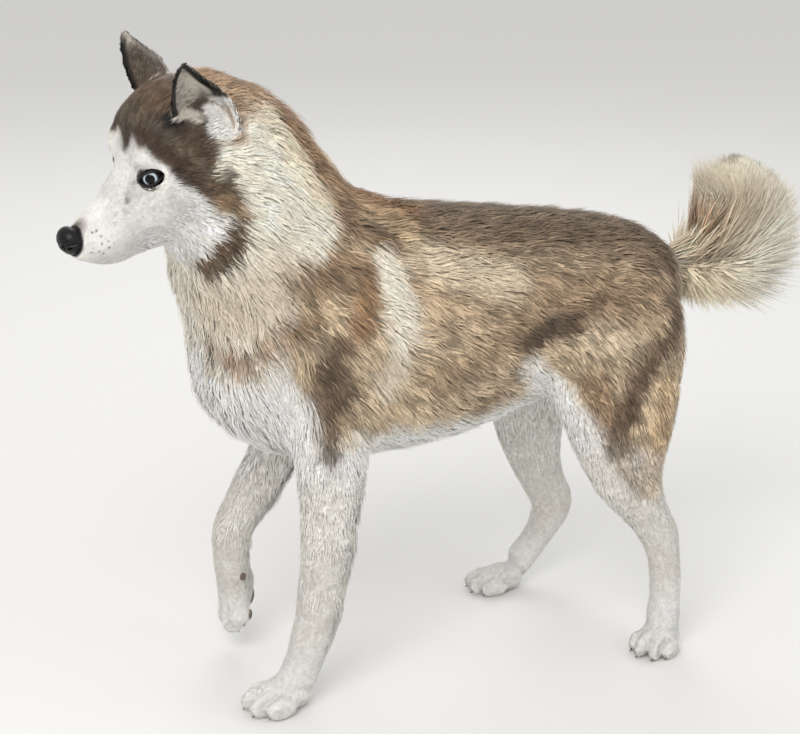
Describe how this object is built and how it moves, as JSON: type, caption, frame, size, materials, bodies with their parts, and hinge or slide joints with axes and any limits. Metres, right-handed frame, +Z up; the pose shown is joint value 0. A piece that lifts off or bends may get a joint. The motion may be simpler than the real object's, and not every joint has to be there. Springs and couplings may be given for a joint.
{
  "type": "dog figure",
  "caption": "Life-size still figure of a thick-coated spitz sled dog standing on three feet with its right forefoot lifted and its brush tail curled up over the rump.",
  "frame": {"origin": "on the floor under the middle of the figure's bounding box", "axes": "+Z up; +X from the nose to the tail, so the dog faces -X; +Y toward the dog's right side"},
  "size_m": [0.9152, 0.2986, 0.7507],
  "materials": {
    "coat_head": "short fur, white with a taupe cap",
    "coat_body": "dense agouti fur",
    "coat_legs": "short white fur",
    "coat_tail": "long cream fur",
    "eye": "wet gloss",
    "nose_leather": "moist, fine grain"
  },
  "bodies": {
    "root": {"chest": "coat_body", "head": "coat_head", "left_ear": "coat_head", "left_eye": "eye", "left_fore_foot": "coat_legs", "left_fore_shank": "coat_legs", "left_fore_upper": "coat_legs", "left_hind_foot": "coat_legs", "left_hind_shank": "coat_legs", "left_hind_upper": "coat_legs", "loin": "coat_body", "neck": "coat_body", "nose": "nose_leather", "right_ear": "coat_head", "right_eye": "eye", "right_fore_foot": "coat_legs", "right_fore_shank": "coat_legs", "right_fore_upper": "coat_legs", "right_hind_foot": "coat_legs", "right_hind_shank": "coat_legs", "right_hind_upper": "coat_legs", "rump": "coat_body", "tail": "coat_tail", "tail_end": "coat_tail"}
  },
  "joints": []
}
